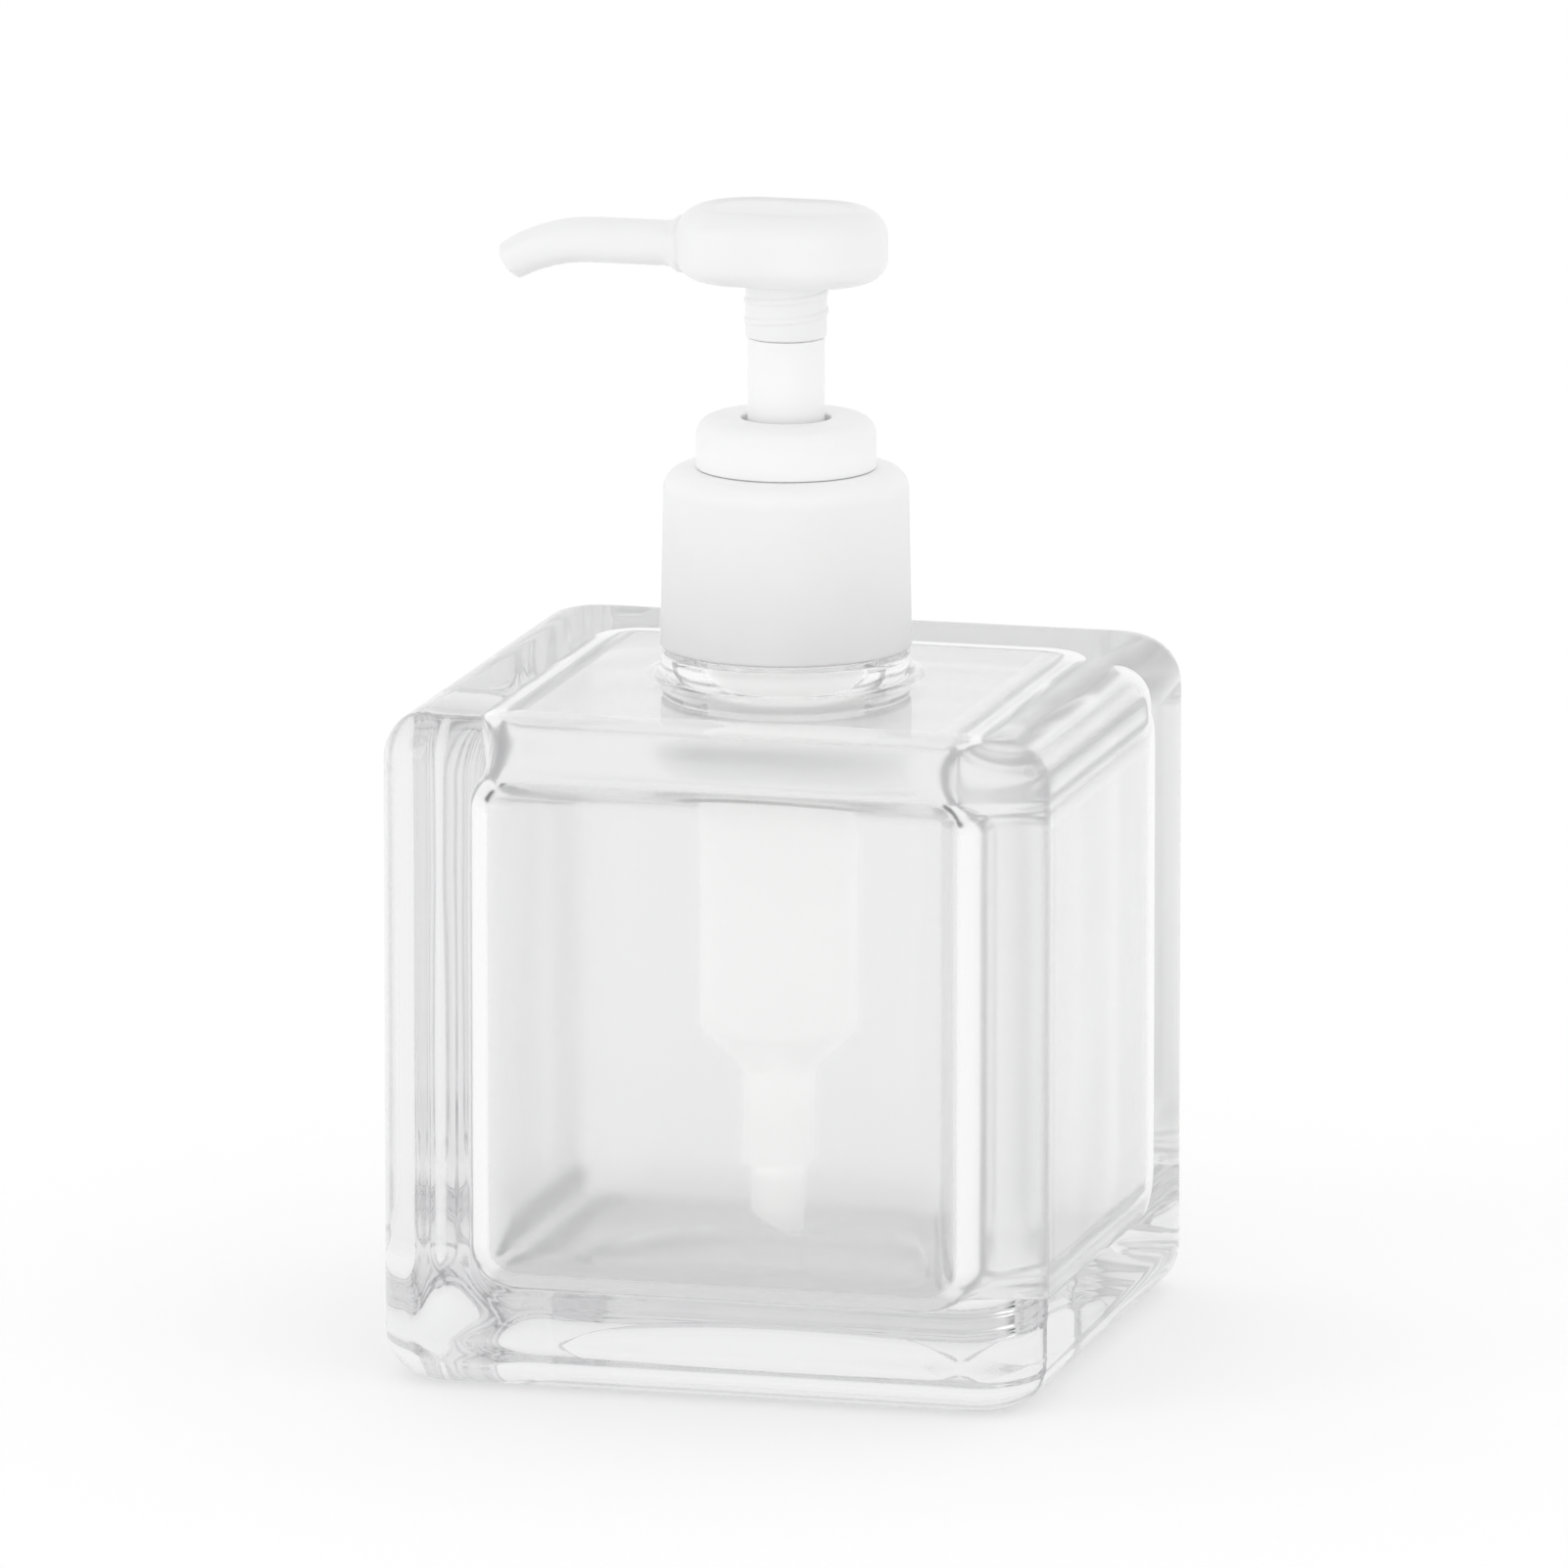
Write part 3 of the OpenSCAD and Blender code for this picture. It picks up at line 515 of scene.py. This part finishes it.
def spout_surface(steps=36):
    """The spout's wall. Its path runs straight along -X, then down on a circle of radius SPOUT_BEND.
    The skin's radius falls off as a bell curve from the swell at its root, loses TAPER as the square
    of the way to the tip, and rounds off over the lip as a circle does. The bore runs back inside."""
    straight = np.column_stack([np.linspace(SPOUT_ROOT, SPOUT_START, 30), np.full(30, SPOUT_Z)])
    a = np.linspace(0, SPOUT_SLOPE, steps)[1:]
    bend = np.column_stack([SPOUT_START - SPOUT_BEND * np.sin(a), SPOUT_Z - SPOUT_BEND * (1 - np.cos(a))])
    path = np.vstack([straight, bend])
    run = np.concatenate([[0], np.cumsum(np.linalg.norm(np.diff(path, axis=0), axis=1))])
    left = run[-1] - run
    lip = np.clip(1 - left / LIP_RUN, 0, 1)
    skin = SPOUT_R + SWELL * np.exp(-np.maximum(run - SWELL_RUN, 0) ** 2 / SWELL_SPREAD)
    skin -= TAPER * np.clip(1 - left / TAPER_RUN, 0, 1) ** 2
    skin -= LIP * (1 - np.sqrt(1 - lip ** 2))
    bore = np.full(len(path), SPOUT_BORE)
    return np.concatenate([swept(path, skin), swept(path, bore)[::-1]])


def sleeve_surface():
    """The sleeve under the head: a tube's rounded section turned round the axis, with the lock thread
    raised on its outer wall."""
    section = outline([(SLEEVE_R, SLEEVE_FOOT, 0.25), (SLEEVE_R, SLEEVE_TOP, 0.05),
                       (SLEEVE_BORE, SLEEVE_TOP, 0.05), (SLEEVE_BORE, SLEEVE_FOOT, 0.15)], True)
    thread = (SLEEVE_R, SLEEVE_THREAD_HEIGHT, 0, SLEEVE_THREAD)
    return turned(dense(section, SLEEVE_R, SLEEVE_STEP), 160, thread)


piece("spout_and_sleeve", [(spout_surface(), True, True), (sleeve_surface(), True, True)],
      "head", white_pp, ["actuator"])


# ---------------------------------------------------------------- inside the bottle

CYLINDER_R, CYLINDER_BORE, CYLINDER_TOP, CYLINDER_LEDGE = 9.5, 8.25, 112.4, 46.5
FLANGE_R, FLANGE_FOOT, FLANGE_TOP = 12.3, 105.1, 106.4
SOCKET_R, SOCKET_BORE, SOCKET_FOOT, SOCKET_ROOF = 4.2, 3.2, 22.0, 35.0
CONE_LOW, CONE_HIGH = 34.0, 39.0
BALL_ROOM, BALL_ROOM_TOP, BALL_ROOM_FOOT, LEDGE_R = 3.4, 44.5, 39.5, 7.25
INLET, INLET_TOP = 1.9, 38.0

turned_piece("pump_cylinder", [
    (SOCKET_R, SOCKET_FOOT, 0.3), (SOCKET_R, CONE_LOW, 1.5), (CYLINDER_R, CONE_HIGH, 1.5),
    (CYLINDER_R, FLANGE_FOOT, 0.1), (FLANGE_R, FLANGE_FOOT, 0.2), (FLANGE_R, FLANGE_TOP, 0.2),
    (CYLINDER_R, FLANGE_TOP, 0.1), (CYLINDER_R, CYLINDER_TOP, 0.2), (CYLINDER_BORE, CYLINDER_TOP, 0.2),
    (CYLINDER_BORE, CYLINDER_LEDGE, 0.1), (LEDGE_R, CYLINDER_LEDGE, 0.1), (BALL_ROOM, BALL_ROOM_TOP, 0.3),
    (BALL_ROOM, BALL_ROOM_FOOT, 0.3), (INLET, INLET_TOP, 0.1), (INLET, SOCKET_ROOF, 0.1),
    (SOCKET_BORE, SOCKET_ROOF, 0.05), (SOCKET_BORE, SOCKET_FOOT, 0.2)],
    "engine", natural_pp, ["pump_housing"], cols=128)

TUBE_R, TUBE_BORE, TUBE_FOOT, TUBE_TOP = 3.19, 2.3, 13.2, 34.8
TUBE_LEVELS = (30, 22)
TUBE_SLANT = math.tan(math.radians(25))
FOOT_ROUNDING = 0.1


def dip_tube_surface(cols=72):
    """A straight tube whose foot is cut slanting: its rings (radius, height, 1 at the foot) go down
    outside and up inside, and those of the foot rise by the slant times the distance along X from
    the side that points to +X."""
    angle = np.linspace(0, 2 * math.pi, cols, endpoint=False)
    low = TUBE_FOOT + FOOT_ROUNDING
    rings = [(TUBE_R, TUBE_TOP, 0), *[(TUBE_R, z, 0) for z in TUBE_LEVELS], (TUBE_R, low, 1),
             ((TUBE_R + TUBE_BORE) / 2, TUBE_FOOT, 1),
             (TUBE_BORE, low, 1), (TUBE_BORE, TUBE_LEVELS[-1], 0), (TUBE_BORE, TUBE_TOP, 0)]
    r, z, foot = np.array(rings)[:, :, None].transpose(1, 0, 2)
    x, y = r * np.cos(angle), r * np.sin(angle)
    return np.stack([x, y, z + foot * (TUBE_R - x) * TUBE_SLANT], axis=-1)


piece("dip_tube_pipe", [(dip_tube_surface(), True, True)], "engine", natural_pp,
      ["dip_tube"])

SPRING_R, WIRE_R = 5.1, 0.5
SPRING_LOW, SPRING_HIGH = 49.0, 91.0
SPRING_TURNS, DEAD_TURNS = 11, 1
CLOSED_RISE = 2.04   # rise of a closed turn, in wire radii: just clear of touching


def spring_surface(per_turn=48, sides=16):
    """A round wire along a helix: the bearing is a full circle times the turns, and the height rises
    by a little over one wire in the closed turn at each end and evenly between them. The wire's
    radius is nothing at its two ends, which closes them."""
    turns = np.linspace(0, SPRING_TURNS, per_turn * SPRING_TURNS + 1)
    closed = CLOSED_RISE * WIRE_R * DEAD_TURNS
    z = np.interp(turns, [0, DEAD_TURNS, SPRING_TURNS - DEAD_TURNS, SPRING_TURNS],
                  [SPRING_LOW + WIRE_R, SPRING_LOW + WIRE_R + closed,
                   SPRING_HIGH - WIRE_R - closed, SPRING_HIGH - WIRE_R])[:, None]
    wire = np.full((len(turns), 1), WIRE_R)
    wire[[0, -1]] = 0.0
    side = np.linspace(0, 2 * math.pi, sides, endpoint=False)
    bearing = (2 * math.pi * turns)[:, None]
    r = SPRING_R + wire * np.cos(side)
    return np.stack([r * np.cos(bearing), r * np.sin(bearing), z + wire * np.sin(side)], axis=-1)


coil = piece("return_coil", [(spring_surface(), False, True)], "engine", spring_wire,
             ["return_spring"])
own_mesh(coil)

# The plain turned pieces inside the pump are shown by their own CAD nodes.
for node, material in [("neck_gasket", pe_foam), ("stem_wiper", soft_pe), ("piston_seal", soft_pe),
                       ("piston_rod", white_pp), ("ball_retainer", natural_pp), ("inlet_ball", ball_steel)]:
    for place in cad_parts[node].material_slots:
        place.material = material


# ---------------------------------------------------------------- floor, light and camera

FLOOR_HALF, FLOOR_Z = 8, -1e-4  # metres; a hair below the base
floor_mesh = bpy.data.meshes.new("studio_floor")
floor_mesh.from_pydata([(x * FLOOR_HALF, y * FLOOR_HALF, FLOOR_Z) for x, y in
                        [(-1, -1), (1, -1), (1, 1), (-1, 1)]], [], [(0, 1, 2, 3)])
floor = bpy.data.objects.new("studio_floor", floor_mesh)
bpy.context.scene.collection.objects.link(floor)
# Pale sweep paper, matt. Its glow stands for the light that a bright studio returns to it, and
# keeps it white to the edge of the view and through the glass.
paper = bpy.data.materials.new("white_sweep_paper")
paper.use_nodes = True
paper.node_tree.nodes.clear()
shade = add(paper.node_tree, "ShaderNodeBsdfPrincipled", inputs={
    "Base Color": linear("#c8c8c8"), "Roughness": 0.9, "Specular IOR Level": 0.0,
    "Emission Color": linear("#ffffff"), "Emission Strength": 0.5})
add(paper.node_tree, "ShaderNodeOutputMaterial", links={"Surface": shade.outputs["BSDF"]})
floor_mesh.materials.append(paper)

scene = bpy.context.scene
scene.view_settings.view_transform = "Standard"
# Light crosses the glass's walls many times, so a path may go on for longer than usual.
scene.cycles.max_bounces = scene.cycles.transmission_bounces = scene.cycles.glossy_bounces = 32
world = bpy.data.worlds.new("white_studio")
scene.world = world
world.use_nodes = True
sky = world.node_tree
sky.nodes.clear()
# The studio's tent is white at the horizon and a little darker overhead.
way = add(sky, "ShaderNodeTexCoord")
split = add(sky, "ShaderNodeSeparateXYZ", links={"Vector": way.outputs["Generated"]})
height = add(sky, "ShaderNodeMapRange", settings={"interpolation_type": "SMOOTHSTEP"},
             inputs={"From Min": 0.0, "From Max": 0.8, "To Min": 0.0, "To Max": 1.0},
             links={"Value": split.outputs["Z"]})
tone = add(sky, "ShaderNodeValToRGB", links={"Fac": height.outputs["Result"]})
tone.color_ramp.elements[0].color = (1.0, 1.0, 1.0, 1)
tone.color_ramp.elements[1].color = (0.88, 0.88, 0.88, 1)


CARD_CORE = 0.7  # share of a card's half angle that is fully dark, inside its soft edge


def black_card(colour, towards, half_angle, left):
    """Darkens the world within half_angle degrees of one direction, to the share left: a soft-edged
    black card, which draws thin dark lines in the glass's edges. The cosine of the angle from
    towards, its product with each direction of view, runs the share."""
    towards = np.array(towards, float) / np.linalg.norm(towards)
    near = add(sky, "ShaderNodeVectorMath", settings={"operation": "DOT_PRODUCT"},
               links={0: way.outputs["Generated"]})
    near.inputs[1].default_value = towards
    share = add(sky, "ShaderNodeMapRange", settings={"interpolation_type": "SMOOTHSTEP"},
                inputs={"From Min": math.cos(math.radians(half_angle)),
                        "From Max": math.cos(math.radians(half_angle * CARD_CORE)),
                        "To Min": 1.0, "To Max": left},
                links={"Value": near.outputs["Value"]})
    return add(sky, "ShaderNodeVectorMath", settings={"operation": "SCALE"},
               links={0: colour, "Scale": share.outputs["Result"]}).outputs["Vector"]


studio = black_card(tone.outputs["Color"], (-0.75, -0.25, 0.62), 17, 0.1)
studio = black_card(studio, (0.9, 0.35, 0.45), 12, 0.2)
lamp = add(sky, "ShaderNodeBackground", inputs={"Strength": 1.0}, links={"Color": studio})
add(sky, "ShaderNodeOutputWorld", links={"Surface": lamp.outputs["Background"]})


def softbox(name, at, towards, width, height, power):
    """An area light at one point, turned to face another: its azimuth and tilt are the angles of the
    line from towards back to at."""
    light = bpy.data.lights.new(name, "AREA")
    light.shape, light.size, light.size_y, light.energy = "RECTANGLE", width, height, power
    obj = bpy.data.objects.new(name, light)
    scene.collection.objects.link(obj)
    obj.location = at
    back = np.array(at, float) - np.array(towards, float)
    azimuth = math.atan2(back[0], -back[1])
    tilt = math.atan2(back[2], math.hypot(back[0], back[1]))
    obj.rotation_euler = (math.pi / 2 - tilt, 0, azimuth)


softbox("left_softbox", (-1.0, -0.7, 0.7), (0, 0, 0.08), 0.5, 0.9, 1.2)

# The camera looks from the front right and a little above, from far away through a long lens.
AIM_SHIFT, AIM_HEIGHT = -0.00026, 0.0685  # metres, sideways from the axis and up from the base
AZIMUTH, ELEVATION, DISTANCE = math.radians(14.75), math.radians(11.44), 2.513
SENSOR, FOCAL_LENGTH = 36.0, 472.5        # mm
camera = bpy.data.cameras.new("camera")
camera.sensor_width = SENSOR
camera.lens = FOCAL_LENGTH
camera.clip_start, camera.clip_end = 0.1, 50
eye = bpy.data.objects.new("camera", camera)
scene.collection.objects.link(eye)
back = (math.sin(AZIMUTH) * math.cos(ELEVATION), -math.cos(AZIMUTH) * math.cos(ELEVATION),
        math.sin(ELEVATION))
aim = (AIM_SHIFT * math.cos(AZIMUTH), AIM_SHIFT * math.sin(AZIMUTH), AIM_HEIGHT)
eye.location = [a + DISTANCE * b for a, b in zip(aim, back)]
eye.rotation_euler = (math.pi / 2 - ELEVATION, 0, AZIMUTH)
scene.camera = eye
